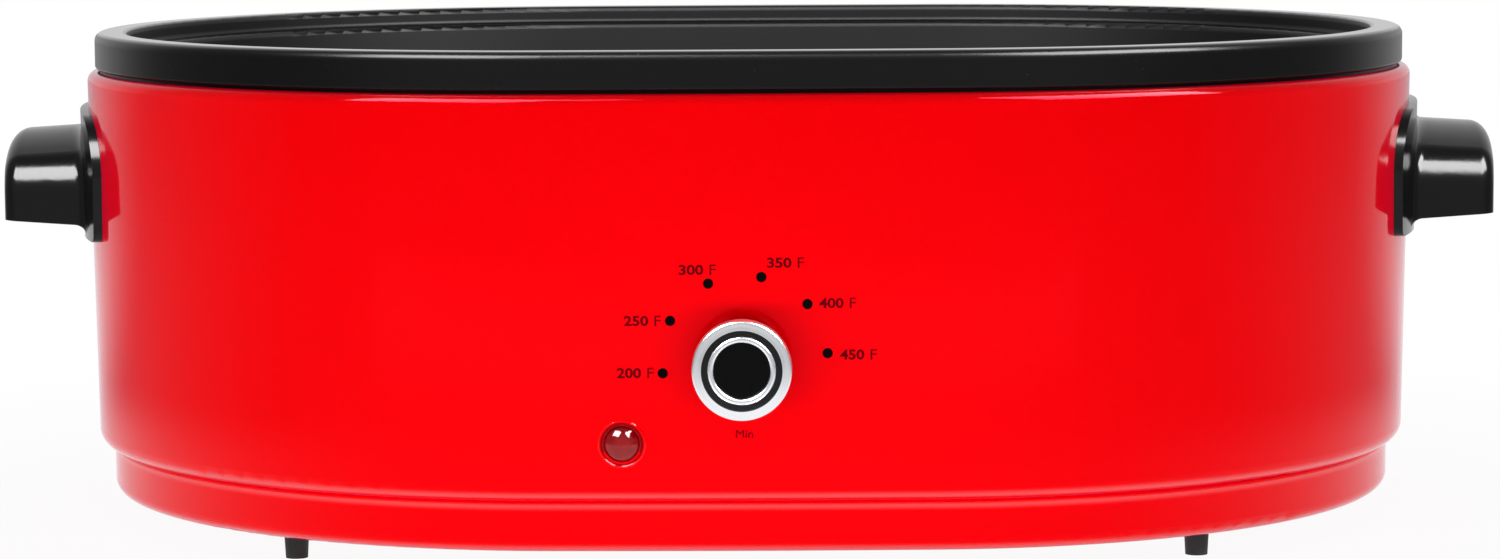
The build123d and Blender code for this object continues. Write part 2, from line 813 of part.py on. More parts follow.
# ---- pilot lamp: local z outwards from the wall --------------------------------------------
def make_pilot_lens():
    """Domed jewel, hollow from behind, with a flange inside the shell."""
    edge = collar_rise
    rise = lens_dome - edge
    dome_radius = (lens_radius**2 + rise**2) / (2 * rise)
    dome = (Pos(0, 0, lens_dome - dome_radius) * Sphere(dome_radius)) & rod(lens_radius, edge, lens_dome)
    lens = dome + rod(lens_radius, -lens_depth, edge)
    lens += rod(lamp_flange, lens_back, lens_back + steel)
    return lens - rod(lens_radius - lens_wall, -lens_depth, 0)


def make_pilot_retainer():
    return tube(retainer_radius, lens_radius, lens_back - washer_thickness, lens_back)


def make_pilot_socket():
    """Plug that closes the lens and holds the lamp."""
    plug = tube(lens_radius - lens_wall, bulb_radius, -lens_depth, -lens_depth / 2)
    return plug + tube(lens_radius, bulb_radius, -lens_depth - 2 * steel, -lens_depth)


def make_pilot_bulb():
    return rod(bulb_radius, -lens_depth - 2 * steel, -lens_wall)


# ---- cord inlet and wiring -----------------------------------------------------------------
def make_cord_gland():
    """Bush for the cord: a round flange outside and a threaded neck through the shell."""
    bush = rod(gland_neck, -gland_length, wall_fit)
    bush += rod(gland_radius, wall_fit, wall_fit + gland_flange)
    bush = fillet(bush.edges().group_by(Axis.Z)[-1], gland_flange / 3)
    return bush - rod(gland_bore, -2 * gland_length, 2 * gland_flange)


def make_gland_nut():
    high = -steel - wall_fit
    return hex_nut(gland_nut_flats, gland_neck, high - gland_nut_height, high)


def pole_places():
    return [(pole * pole_pitch, block_y) for pole in (-1, 0, 1)]


def make_terminal_block():
    body = Pos(0, block_y) * block(block_width, block_depth, base_floor, base_floor + block_height)
    for x, y in pole_places():
        body -= Pos(x, y) * rod(handle_screw_radius, pole_z, base_floor + block_height)
    return body


def make_terminal_screws():
    top = base_floor + block_height
    length = top - pole_z
    piece = Pos(0, 0, top) * screw(handle_screw_radius, 1.4 * handle_screw_radius, steel, length)
    return Part() + [Pos(x, y) * piece for x, y in pole_places()]


def element_tab_depth():
    """How far forward of the heater its terminals take their leads."""
    side, _ = element_tab_places()[1]
    return behind_front(side, ribbon_inset) - tab_length / 2


def make_leads():
    """Insulated leads: under the heatwell, up between the shield and the hem, and on to a tab."""
    front = block_y - block_depth / 2
    duct = behind_front(0, wall_inset(knob_z)) - tab_level
    passage = hem_flange + lead_run / 2 - half_depth
    rise_z = hem_z + 2 * lead_radius
    bend_z = rise_z + lead_run
    (low_x, low_z), (high_x, high_z) = element_tab_places()
    tab_y = element_tab_depth()
    tab_x = pocket_width / 2
    tab_end = knob_z - control_height / 2 - tab_length + tab_root
    live = [(0, front, pole_z), (0, front - lead_run, pole_z), (0, front - 3 * lead_run, lead_z),
            (tab_x, passage + lead_run, lead_z), (tab_x, passage, rise_z), (tab_x, duct, rise_z + lead_climb),
            (tab_x, duct, tab_end)]
    neutral = [(pole_pitch, front, pole_z), (pole_pitch, front - lead_run, pole_z),
               (pole_pitch, front - 3 * lead_run, lead_z), (high_x, passage + lead_run, lead_z),
               (high_x, passage, rise_z), (high_x, tab_y, rise_z + lead_climb),
               (high_x, tab_y, high_z - ribbon_width / 2)]
    load_x = -control_width / 2 - tab_length + tab_root
    load_z = knob_z - tab_width / 2
    gap = low_x + tab_width / 2
    load = [(load_x, duct, load_z), (load_x - lead_run / 2, duct, load_z),
            (gap + lead_run / 3, tab_y, low_z), (gap, tab_y, low_z)]
    earth = [(-pole_pitch, front, pole_z), (-pole_pitch, front - lead_run, pole_z),
             (-pole_pitch - lead_run / 2, earth_y, lead_z), (earth_side + 3 * screw_head, earth_y, lead_z)]
    return {"lead_live": wire(lead_radius, live, wide_bend),
            "lead_neutral": wire(lead_radius, neutral, wide_bend),
            "lead_load": wire(lead_radius, load, tight_bend),
            "lead_earth": wire(lead_radius, earth, lead_bend)}


def make_pilot_leads():
    """Two thin leads from the back of the lamp, to the heater's tab and to the terminal block."""
    start = (on_front(lamp_side, lamp_z) * Pos(0, 0, -lens_depth - 2 * steel - 2 * wall_fit)).position
    (low_x, low_z), _ = element_tab_places()
    tab_y = element_tab_depth()
    passage = hem_flange + lead_run / 2 - half_depth
    clear_z = lead_z + 4 * lead_radius
    side = bulb_radius + 2 * thin_lead_radius
    back = start.Y + lead_run / 3
    up = [(start.X - side, start.Y, lamp_z), (start.X - side, back, lamp_z),
          (low_x, tab_y, (lamp_z + low_z) / 2), (low_x, tab_y, low_z - ribbon_width / 2)]
    front = block_y - block_depth / 2
    down = [(start.X + side, start.Y, lamp_z), (start.X + side, back, lamp_z),
            (start.X + side, passage, hem_z + pilot_lead_lift), (start.X + side, passage + lead_run, clear_z),
            (pole_pitch - pilot_lead_side, front - 2 * lead_run, clear_z),
            (pole_pitch - pilot_lead_side, front, pole_z)]
    return wire(thin_lead_radius, up, thin_bend) + wire(thin_lead_radius, down, tight_bend)


def make_earth_screw():
    """Screw and tag that earth the base pan."""
    tag = tube(screw_head, screw_radius, 0, steel)
    tag += Pos(2 * screw_head) * block(2 * screw_head, screw_head, 0, steel)
    tag += Pos(3 * screw_head - steel) * block(2 * steel, screw_head, 0, 2 * lead_radius)
    tag -= rod(screw_radius, 0, steel)
    piece = tag + Pos(0, 0, steel) * screw(screw_radius, screw_head, steel, 2 * steel)
    return Pos(earth_side, earth_y, base_floor) * piece


# ---- nodes ---------------------------------------------------------------------------------
nodes = {
    "outer_shell": make_outer_shell(),
    "base_pan": make_base_pan(),
    "heatwell": make_heatwell(),
    "cookwell": make_cookwell(),
    "heater_band": make_heater_band(),
    "heating_ribbon": make_heating_ribbon(),
    "element_tabs": make_element_tabs(),
    "band_lugs": make_band_lugs(),
    "band_springs": make_band_springs(),
    "insulation_blanket": make_insulation_blanket(),
    "heat_shield": make_heat_shield(),
    "tie_studs": make_tie_studs(),
    "upper_spacers": make_upper_spacers(),
    "lower_spacers": make_lower_spacers(),
    "tie_nuts": make_tie_nuts(),
    "foot_screws": make_foot_screws(),
    "foot_nuts": make_foot_nuts(),
    "handle_plates": make_handle_plates(),
    "handle_screws": make_handle_screws(),
    "terminal_block": make_terminal_block(),
    "terminal_screws": make_terminal_screws(),
    "earth_screw": make_earth_screw(),
    "pilot_leads": make_pilot_leads(),
}
nodes.update(make_leads())

foot_names = ["foot_front_left", "foot_front_right", "foot_rear_left", "foot_rear_right"]
for foot_name, (foot_x, foot_y) in zip(foot_names, round_the_ends(foot_inset, foot_angle)):
    nodes[foot_name] = Pos(foot_x, foot_y) * make_foot()

right_handle = make_handle()
nodes["handle_right"] = right_handle
nodes["handle_left"] = mirror(right_handle, about=Plane.YZ)

controls = {
    "knob_body": make_knob_body(),
    "knob_bezel": make_knob_bezel(),
    "knob_ring": make_knob_ring(),
    "knob_cap": make_knob_cap(),
    "knob_spring": make_knob_spring(),
    "thermostat_shaft": make_thermostat_shaft(),
    "thermostat_cam": make_thermostat_cam(),
    "thermostat_bushing": make_thermostat_bushing(),
    "thermostat_nut": make_thermostat_nut(),
    "bushing_washer": make_bushing_washer(),
    "thermostat_plate": make_thermostat_plate(),
    "thermostat_body": make_thermostat_body(),
    "thermostat_tabs": make_thermostat_tabs(),
    "contact_blades": make_contact_blades(),
    "sensor_blade": make_sensor_blade(),
}
for name, piece in controls.items():
    nodes[name] = on_front(0, knob_z) * piece

lamp = {
    "pilot_lens": make_pilot_lens(),
    "pilot_retainer": make_pilot_retainer(),
    "pilot_socket": make_pilot_socket(),
    "pilot_bulb": make_pilot_bulb(),
}
for name, piece in lamp.items():
    nodes[name] = on_front(lamp_side, lamp_z) * piece

nodes["cord_gland"] = on_back(gland_z) * make_cord_gland()
nodes["gland_nut"] = on_back(gland_z) * make_gland_nut()

front_reach = half_depth - wall_inset(knob_z) + knob_stand
back_reach = max(half_depth, half_depth - wall_inset(gland_z) + wall_fit + gland_flange)
body_y = (front_reach - back_reach) / 2

os.makedirs("parts", exist_ok=True)
for name, piece in nodes.items():
    export_step(Pos(0, body_y) * piece, "parts/" + name + ".step")
print("body moved back by", round(body_y, 3))
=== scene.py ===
"""Electric roaster oven: finishes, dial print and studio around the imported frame.

Everything is in metres in the frame's own axes: +X along the length, +Z up, the knob faces -Y.
"""

from math import cos, pi, radians, sin

import bmesh
import bpy
from bpy.props import FloatProperty, FloatVectorProperty, IntProperty, PointerProperty
from mathutils import Matrix, Vector
from mathutils.bvhtree import BVHTree


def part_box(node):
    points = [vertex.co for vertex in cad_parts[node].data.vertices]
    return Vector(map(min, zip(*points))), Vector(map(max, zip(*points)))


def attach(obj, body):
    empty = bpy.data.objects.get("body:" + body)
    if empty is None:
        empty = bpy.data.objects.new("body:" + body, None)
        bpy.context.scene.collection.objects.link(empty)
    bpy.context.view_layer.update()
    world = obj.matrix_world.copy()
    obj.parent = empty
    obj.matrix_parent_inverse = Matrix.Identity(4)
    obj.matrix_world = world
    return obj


bl_info = {
    "name": "Roaster Oven",
    "version": (1, 0, 0),
    "blender": (4, 5, 0),
    "location": "3D View > Sidebar > Roaster",
    "description": "Finishes, dial print and studio of an electric roaster oven",
    "category": "Object",
}

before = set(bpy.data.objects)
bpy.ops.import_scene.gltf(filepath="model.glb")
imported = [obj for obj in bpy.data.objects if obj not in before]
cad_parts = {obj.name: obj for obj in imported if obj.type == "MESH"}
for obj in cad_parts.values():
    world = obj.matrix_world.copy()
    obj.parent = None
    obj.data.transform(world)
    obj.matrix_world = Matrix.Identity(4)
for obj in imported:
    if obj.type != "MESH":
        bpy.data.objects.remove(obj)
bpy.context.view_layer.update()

MM = 0.001
KNOB_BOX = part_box("knob_bezel")
KNOB_CENTRE = tuple((low + high) / 2 for low, high in zip(*KNOB_BOX))
# How far in front of a piece a search for the wall behind it starts, and the way it goes.
AHEAD = 50 * MM
TO_THE_BACK = Vector((0, 1, 0))


def linear(code):
    """An sRGB hex colour as linear red, green, blue and alpha."""
    parts = [int(code[i:i + 2], 16) / 255 for i in (0, 2, 4)]
    parts = [p / 12.92 if p <= 0.04045 else ((p + 0.055) / 1.055) ** 2.4 for p in parts]
    return (*parts, 1.0)


def colour(name, code, description):
    """A colour setting, from its sRGB hex value."""
    return FloatVectorProperty(name=name, description=description, subtype="COLOR",
                               size=4, min=0.0, max=1.0, default=linear(code))


def length(name, millimetres, description):
    """A length setting, from its value in millimetres."""
    return FloatProperty(name=name, description=description, subtype="DISTANCE",
                         unit="LENGTH", default=millimetres * MM)


def turn(name, degrees, description):
    """An angle setting, from its value in degrees."""
    return FloatProperty(name=name, description=description, subtype="ANGLE",
                         unit="ROTATION", default=radians(degrees))


def brightness(name, level, description):
    """A light level setting."""
    return FloatProperty(name=name, description=description, default=level, min=0.0)


class RoasterFinishes(bpy.types.PropertyGroup):
    """Colours of the object's finishes."""

    red_enamel: colour("Red Enamel", "ff0004", "Baked gloss enamel of the shell and the base")
    black_enamel: colour("Black Enamel", "080808", "Porcelain enamel of the cooking well")
    black_moulding: colour("Black Moulding", "101011", "Handles, knob and cord bush")
    face_black: colour("Face Black", "050505", "Disc in the middle of the knob")
    bright_trim: colour("Bright Trim", "f4f6fa", "Plated trim of the knob")
    jewel_red: colour("Jewel Red", "b8000e", "Moulded lens of the pilot lamp")
    mark_ink: colour("Mark Ink", "050202", "Heat marks of the dial")
    figure_ink: colour("Figure Ink", "5a0007", "Numbers and words of the dial")


class RoasterDial(bpy.types.PropertyGroup):
    """Print on the wall around the knob."""

    dots: IntProperty(name="Dots", description="Number of heat marks", default=6, min=1)
    dot_diameter: length("Dot Diameter", 3.7, "Diameter of a heat mark")
    circle_radius: length("Circle Radius", 29.6, "Circle's centre to the heat marks")
    circle_right: length("Circle Right", 0.7, "Knob's axis to the circle's centre, to the right")
    circle_up: length("Circle Up", 2.0, "Knob's axis to the circle's centre, upward")
    first_angle: turn("First Angle", 190.4, "Angle of the first heat mark, from the right")
    angle_step: turn("Angle Step", -37.45, "Turn from one heat mark to the next")
    figure_height: length("Figure Height", 3.7, "Height of the numbers")
    figure_width: length("Figure Width", 8.7, "Width of the three figures of a number")
    letter_width: length("Letter Width", 2.2, "Width of the letter after a number")
    letter_start: length("Letter Start", 10.9, "Left edge of a number to that of its letter")
    ink_thickness: length("Ink Thickness", 0.05, "How far the print stands on the enamel")


class RoasterStudio(bpy.types.PropertyGroup):
    """Floor, lamps and camera."""

    floor_radius: length("Floor Radius", 9000, "Radius of the floor")
    floor_tone: colour("Floor Tone", "fdfdfd", "Colour of the floor")
    room_level: brightness("Room Level", 0.24, "Light that comes from all round")
    box_level: brightness("Softbox Level", 30.0, "Brightness of the two softboxes")
    top_level: brightness("Overhead Level", 1.0, "Brightness of the overhead panel")
    front_level: brightness("Front Level", 12.5, "Brightness of the low front panel")
    fill_level: brightness("Fill Level", 2.2, "Brightness of the low panels at the ends and back")
    lens: FloatProperty(name="Lens", description="Focal length of the camera", subtype="DISTANCE_CAMERA",
                        unit="CAMERA", default=104.59)


PROPERTY_GROUPS = {"roaster_finishes": RoasterFinishes, "roaster_dial": RoasterDial,
                   "roaster_studio": RoasterStudio}


# ---- node trees

def add(tree, kind, links=None, **settings):
    """Add a node. Links give each input, by name or number, a value or another node's output."""
    node = tree.nodes.new(kind)
    for name, value in settings.items():
        setattr(node, name, value)
    for socket, value in (links or {}).items():
        if isinstance(value, bpy.types.NodeSocket):
            tree.links.new(value, node.inputs[socket])
        else:
            node.inputs[socket].default_value = value
    return node


def noise(tree, place, grain, detail=2.0, distortion=0.0):
    """Soft noise from 0 to 1, with grains of a given size in metres."""
    return add(tree, "ShaderNodeTexNoise", {"Vector": place, "Scale": 1 / grain, "Detail": detail,
                                            "Distortion": distortion}).outputs["Fac"]


def cells(tree, place, size):
    """Cells of a given size in metres: outputs Color and Distance."""
    return add(tree, "ShaderNodeTexVoronoi", {"Vector": place, "Scale": 1 / size}).outputs


def ramp(tree, value, low, high, start=0.0, end=1.0, smooth=False):
    """Go from low to high while a value goes from start to end."""
    return add(tree, "ShaderNodeMapRange", {
        "Value": value, "From Min": start, "From Max": end, "To Min": low, "To Max": high},
        interpolation_type="SMOOTHSTEP" if smooth else "LINEAR").outputs["Result"]


def mix(tree, factor, first, second):
    """Go from one colour to another as a factor goes from 0 to 1."""
    return add(tree, "ShaderNodeMix", {"Factor": factor, "A": first, "B": second},
               data_type="RGBA").outputs["Result"]


def reckon(tree, operation, *values):
    """The result of a Math node on one to three values."""
    return add(tree, "ShaderNodeMath", dict(enumerate(values)), operation=operation).outputs[0]


def vector(tree, operation, links):
    """A Vector Math node."""
    return add(tree, "ShaderNodeVectorMath", links, operation=operation)


def split(tree, place):
    """A vector's X, Y and Z."""
    return add(tree, "ShaderNodeSeparateXYZ", {0: place}).outputs


def bump(tree, height, strength, depth, **over):
    """A relief of a given depth in metres, over another relief where Normal is given."""
    return add(tree, "ShaderNodeBump", {"Height": height, "Strength": strength, "Distance": depth,
                                        **over}).outputs["Normal"]


def scaled(tone, *factors):
    """A colour with its red, green and blue scaled."""
    return (*(c * f for c, f in zip(tone, factors)), 1.0)


def new_material(name):
    """An empty material with its node tree and the object's own coordinates."""
    material = bpy.data.materials.new(name)
    material.use_nodes = True
    tree = material.node_tree
    tree.nodes.clear()
    place = add(tree, "ShaderNodeTexCoord").outputs["Object"]
    return material, tree, place


def close_material(material, shader):
    """Show a shader as the material's surface and return the material."""
    add(material.node_tree, "ShaderNodeOutputMaterial", {"Surface": shader.outputs[0]})
    return material


def principled(material, links):
    """Show the Principled shader with its inputs and return the material."""
    return close_material(material, add(material.node_tree, "ShaderNodeBsdfPrincipled", links))


def coat(material, *nodes):
    """Give CAD nodes a material."""
    for name in nodes:
        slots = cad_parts[name].data.materials
        slots.clear()
        slots.append(material)


# ---- enamels

# Height of the shell's lower edge.
SHELL_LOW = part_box("outer_shell")[0][2]
# Heights where the red metal is rolled over: the shell's hem, the step of the base just under it, and
# the base's lower edge.
EDGE_HEIGHTS = (SHELL_LOW + 2.5 * MM, SHELL_LOW - 2.0 * MM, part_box("base_pan")[0][2] + 1.5 * MM)
# How far above and below such a height the painted highlight band reaches, where the enamel's reflection is
# made stronger and whiter.
EDGE_REACH = 2.0 * MM
# Tint of the red enamel's reflections on the walls, tint of the painted highlight on the rolled edges, and
# tint of its crimson cast.
WALL_GLINT = (1.0, 0.05, 0.1, 1.0)
PAINTED_EDGE_GLINT = (1.0, 0.9, 1.0, 1.0)
CRIMSON_CAST = (0.2, 0.0, 1.0, 1.0)
# Depths below the cookwell's top between which the rim's crest ends: its glaze is tight there, and a painted
# highlight makes its reflection stronger.
CREST_GLINT_DEPTHS = (1.0 * MM, 0.2 * MM)
# Depths below the heatwell's top between which the painted shade on its edge under the well's rim ends.
PAINTED_SHADE_DEPTHS = (2.0 * MM, 1.0 * MM)


def baked_red_enamel(tone):
    # Acrylic enamel, sprayed on steel and baked: a wet, deep red whose reflections are red when met
    # head on and white at a glance, with a faint orange peel that keeps them from being mirror sharp
    # and a crimson cast where the wall turns away. Painted highlight: on the rolled edges its
    # reflection is made stronger and whiter, so they show pale.
    material, tree, place = new_material("baked_red_enamel")
    mottle = noise(tree, place, 60 * MM)
    body = mix(tree, mottle, tone, scaled(tone, 0.97, 1.0, 1.0))
    peel = noise(tree, place, 2.6 * MM, detail=1.0)
    wet = ramp(tree, peel, 0.055, 0.085)
    relief = bump(tree, peel, 0.25, 0.02 * MM)
    height = split(tree, place)["Z"]
    painted_glint_bands = None
    # Painted highlight: bands at the rolled edges, where the reflection is made stronger and whiter.
    for rolled in EDGE_HEIGHTS:
        off = reckon(tree, "ABSOLUTE", reckon(tree, "SUBTRACT", height, rolled))
        near = ramp(tree, off, 0.0, 1.0, start=EDGE_REACH, end=0.0, smooth=True)
        painted_glint_bands = near if painted_glint_bands is None else reckon(tree, "MAXIMUM", painted_glint_bands, near)
    return principled(material, {
        "Base Color": body, "Roughness": wet, "IOR": 1.5, "Specular IOR Level": ramp(tree, painted_glint_bands, 0.5, 1.0),
        "Specular Tint": mix(tree, painted_glint_bands, WALL_GLINT, PAINTED_EDGE_GLINT), "Normal": relief,
        "Sheen Weight": 0.08, "Sheen Roughness": 0.35, "Sheen Tint": CRIMSON_CAST})


def fired_black_enamel(tone):
    # Porcelain enamel, dipped and fired at red heat: a glassy near-black that has flowed over the
    # edges, with a slow waviness and a few pinholes where gas has left the glaze. It is drawn tight and
    # glossy over the crest of the rim, where a painted highlight makes its reflection stronger, and is
    # duller inside.
    material, tree, place = new_material("fired_black_enamel")
    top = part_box("cookwell")[1][2]
    crest = ramp(tree, split(tree, place)["Z"], 0.0, 1.0, start=top - CREST_GLINT_DEPTHS[0],
                 end=top - CREST_GLINT_DEPTHS[1])
    flow = noise(tree, place, 9 * MM, detail=1.0)
    pinholes = ramp(tree, cells(tree, place, 7 * MM)["Distance"], 0.0, 1.0, start=0.03, end=0.07)
    facing = add(tree, "ShaderNodeNewGeometry").outputs["Normal"]
    outward = vector(tree, "DOT_PRODUCT", {0: facing, 1: place}).outputs["Value"]
    inside = reckon(tree, "LESS_THAN", outward, 0.0)
    smooth = ramp(tree, inside, 0.27, 0.5)
    gloss = ramp(tree, crest, ramp(tree, pinholes, 0.45, smooth), 0.07)
    # Painted highlight: the reflection is made stronger in a band at the rim's crest.
    reflection_with_painted_crest = ramp(tree, crest, 0.22, 1.0)
    waves = bump(tree, flow, 0.3, 0.05 * MM)
    return principled(material, {
        "Base Color": tone, "Roughness": gloss, "IOR": 1.5, "Specular IOR Level": reflection_with_painted_crest,
        "Normal": bump(tree, pinholes, 0.4, 0.04 * MM, Normal=waves)})


# ---- metals

def aluminised_steel():
    # Hot-dip aluminised sheet: a soft grey-white metal with large flat crystals, each a little
    # brighter or duller than the next, under the fine lines of the rolling mill. Its sheared edge
    # under the well's rim is painted near-black, as painted shade.
    material, tree, place = new_material("aluminised_steel")
    lines = add(tree, "ShaderNodeMapping", {"Vector": place, "Scale": (1.0, 60.0, 60.0)})
    rolling = noise(tree, lines.outputs["Vector"], 40 * MM)
    sheet = mix(tree, cells(tree, place, 8 * MM)["Color"], linear("b9bab7"), linear("d6d6d2"))
    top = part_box("heatwell")[1][2]
    # Painted shade: the top band of the heatwell, under the well's rim, is coloured near-black.
    painted_shade_band = ramp(tree, split(tree, place)["Z"], 0.0, 1.0, start=top - PAINTED_SHADE_DEPTHS[0],
                end=top - PAINTED_SHADE_DEPTHS[1])
    return principled(material, {
        "Base Color": mix(tree, painted_shade_band, sheet, linear("1c1a19")), "Metallic": 1.0,
        "Roughness": ramp(tree, rolling, 0.3, 0.48), "Normal": bump(tree, rolling, 0.2, 0.02 * MM)})


def metal(name, low, high, grain, rough):
    """A metal whose tone wanders between two colours over a grain size, with its roughness."""
    material, tree, place = new_material(name)
    bloom = noise(tree, place, grain, detail=3.0)
    return principled(material, {
        "Base Color": mix(tree, bloom, linear(low), linear(high)), "Metallic": 1.0,
        "Roughness": ramp(tree, bloom, rough * 0.8, rough * 1.2),
        "Normal": bump(tree, bloom, 0.15, 0.02 * MM)})


def zinc_plate():
    # Barrel-plated zinc on steel: bright, with a bluish and straw bloom that changes over a few
    # millimetres and blurs what it reflects.
    return metal("zinc_plate", "b4babd", "cfcdc0", grain=3 * MM, rough=0.3)


def spring_steel():
    # Hardened spring steel, left as rolled: darker and bluer than plated parts, with an even sheen.
    return metal("spring_steel", "6f7479", "8b8e91", grain=2 * MM, rough=0.28)


def rolled_brass():
    # Half-hard brass strip: warm yellow, slightly tarnished toward brown between the rubbed places.
    return metal("rolled_brass", "a98545", "c9a75e", grain=4 * MM, rough=0.26)


def resistance_alloy():
    # Iron-chrome-aluminium ribbon after its first heats: a brown-grey oxide that dulls the metal.
    return metal("resistance_alloy", "5b5148", "7c7066", grain=2 * MM, rough=0.45)


def around_point(tree, place, centre):
    """The object's coordinates counted from a point."""
    shift = [-c for c in centre]
    return add(tree, "ShaderNodeMapping", {"Vector": place, "Location": shift}).outputs["Vector"]


def plated_trim(tone):
    # Bright plating over a turned cap: a pale mirror that the turning marks soften a little.
    material, tree, place = new_material("plated_trim")
    rings = add(tree, "ShaderNodeTexWave", {"Vector": around_point(tree, place, KNOB_CENTRE),
                                            "Scale": 1 / (6 * MM), "Distortion": 1.5, "Detail": 1.0},
                wave_type="RINGS", rings_direction="Y").outputs["Fac"]
    return principled(material, {
        "Base Color": tone, "Metallic": 1.0, "Roughness": ramp(tree, rings, 0.18, 0.26)})


# ---- mouldings

def moulding(name, tone, grain, rough, index, depth, level=0.5):
    """A moulded plastic or rubber: its colour, the size and depth of its skin's texture, its gloss."""
    material, tree, place = new_material(name)
    skin = noise(tree, place, grain)
    worn = noise(tree, place, 35 * MM)
    return principled(material, {
        "Base Color": tone, "Roughness": ramp(tree, worn, rough * 0.85, rough * 1.15, start=0.3, end=0.7),
        "IOR": index, "Specular IOR Level": level, "Normal": bump(tree, skin, 0.5, depth)})


def black_phenolic(tone):
    # Compression-moulded phenolic: hard glossy black with the fine spark texture of the mould, drawn
    # at 0.8 mm, because the real grain of 0.1 mm is too fine to show.
    return moulding("black_phenolic", tone, grain=0.8 * MM, rough=0.16, index=1.6, depth=0.008 * MM,
                    level=0.2)


def lacquered_face(tone):
    # Lacquered disc: the blackest place on the object, smooth, with a soft gloss.
    return moulding("lacquered_face", tone, grain=3 * MM, rough=0.22, index=1.45, depth=0.005 * MM,
                    level=0.1)


def foot_rubber():
    # Moulded synthetic rubber: dull black that shows no clear reflection.
    return moulding("foot_rubber", linear("161617"), grain=1 * MM, rough=0.65, index=1.52, depth=0.02 * MM)


def terminal_nylon():
    # Moulded white nylon: milky and faintly yellow, with a soft gloss.
    return moulding("terminal_nylon", linear("dedcd0"), grain=2 * MM, rough=0.42, index=1.53,
                    depth=0.01 * MM)


def steatite():
    # Pressed and fired steatite, unglazed: an off-white stone with a dry, fine-grained face.
    return moulding("steatite", linear("e2dccb"), grain=0.7 * MM, rough=0.75, index=1.58, depth=0.03 * MM)


def lead_insulation(name, code):
    # Extruded silicone rubber over stranded wire: an even colour with a dull, slightly waxy skin.
    return moulding(name, linear(code), grain=1.5 * MM, rough=0.5, index=1.45, depth=0.01 * MM)


def clear(name, tone, grain, smooth, rough, index, through):
    """A clear material: its colour, its roughness between two values, how much light goes through."""
    material, tree, place = new_material(name)
    return principled(material, {
        "Base Color": tone, "Roughness": ramp(tree, noise(tree, place, grain), smooth, rough),
        "IOR": index, "Transmission Weight": through})


def jewel_lens(tone):
    # Polished acrylic, coloured all through: dark where it is deep and lit at its edges.
    return clear("jewel_lens", tone, grain=4 * MM, smooth=0.02, rough=0.05, index=1.49, through=0.55)


def lamp_glass():
    # Blown soda glass of a small neon lamp, with the faint warm tint of its gas and electrodes.
    return clear("lamp_glass", linear("f4e0cf"), grain=3 * MM, smooth=0.01, rough=0.04, index=1.52,
                 through=0.9)


# ---- insulation

def glass_wool():
    # Needled glass fibre: pale yellow, matt and matted, in strands about a millimetre across that
    # lie mostly along the band.
    material, tree, place = new_material("glass_wool")
    strands = add(tree, "ShaderNodeMapping", {"Vector": place, "Scale": (0.25, 0.25, 1.0)})
    fibre = noise(tree, strands.outputs["Vector"], 1.5 * MM, detail=4.0, distortion=1.2)
    return principled(material, {
        "Base Color": mix(tree, fibre, linear("a99e6c"), linear("ece4bf")), "Roughness": 0.95, "IOR": 1.5,
        "Normal": bump(tree, fibre, 0.9, 0.6 * MM)})


def mica_board():
    # Mica paper bonded with silicone: brown-silver flakes of a few millimetres that catch the light
    # one by one.
    material, tree, place = new_material("mica_board")
    flakes = cells(tree, place, 3 * MM)["Color"]
    return principled(material, {
        "Base Color": mix(tree, flakes, linear("8c7752"), linear("c0ad84")),
        "Roughness": ramp(tree, flakes, 0.3, 0.6), "IOR": 1.58})


class ROASTER_OT_enamels(bpy.types.Operator):
    """Coat the shell, the base and the cooking well in their enamels"""

    bl_idname = "roaster.enamels"
    bl_label = "Enamels"

    def execute(self, context):
        finishes = context.scene.roaster_finishes
        coat(baked_red_enamel(tuple(finishes.red_enamel)), "outer_shell", "base_pan")
        coat(fired_black_enamel(tuple(finishes.black_enamel)), "cookwell")
        return {"FINISHED"}


class ROASTER_OT_metals(bpy.types.Operator):
    """Finish the plated, rolled and aluminised metal parts"""

    bl_idname = "roaster.metals"
    bl_label = "Metals"

    def execute(self, context):
        finishes = context.scene.roaster_finishes
        coat(aluminised_steel(), "heatwell", "heat_shield")
        coat(zinc_plate(), "band_lugs", "tie_studs", "upper_spacers", "lower_spacers", "tie_nuts",
             "foot_screws", "foot_nuts", "handle_plates", "handle_screws", "terminal_screws",
             "thermostat_shaft", "thermostat_nut", "bushing_washer", "thermostat_plate")
        coat(spring_steel(), "band_springs", "knob_spring", "sensor_blade", "pilot_retainer")
        coat(rolled_brass(), "element_tabs", "earth_screw", "thermostat_cam", "thermostat_bushing",
             "thermostat_tabs", "contact_blades")
        coat(resistance_alloy(), "heating_ribbon")
        coat(plated_trim(tuple(finishes.bright_trim)), "knob_bezel", "knob_ring")
        return {"FINISHED"}


class ROASTER_OT_mouldings(bpy.types.Operator):
    """Finish the plastic, rubber, ceramic and glass parts"""

    bl_idname = "roaster.mouldings"
    bl_label = "Mouldings and Glass"

    def execute(self, context):
        finishes = context.scene.roaster_finishes
        coat(black_phenolic(tuple(finishes.black_moulding)), "handle_left", "handle_right", "knob_body",
             "pilot_socket", "cord_gland", "gland_nut")
        coat(lacquered_face(tuple(finishes.face_black)), "knob_cap")
        coat(foot_rubber(), "foot_front_left", "foot_front_right", "foot_rear_left", "foot_rear_right")
        coat(terminal_nylon(), "terminal_block")
        coat(steatite(), "thermostat_body")
        coat(jewel_lens(tuple(finishes.jewel_red)), "pilot_lens")
        coat(lamp_glass(), "pilot_bulb")
        return {"FINISHED"}


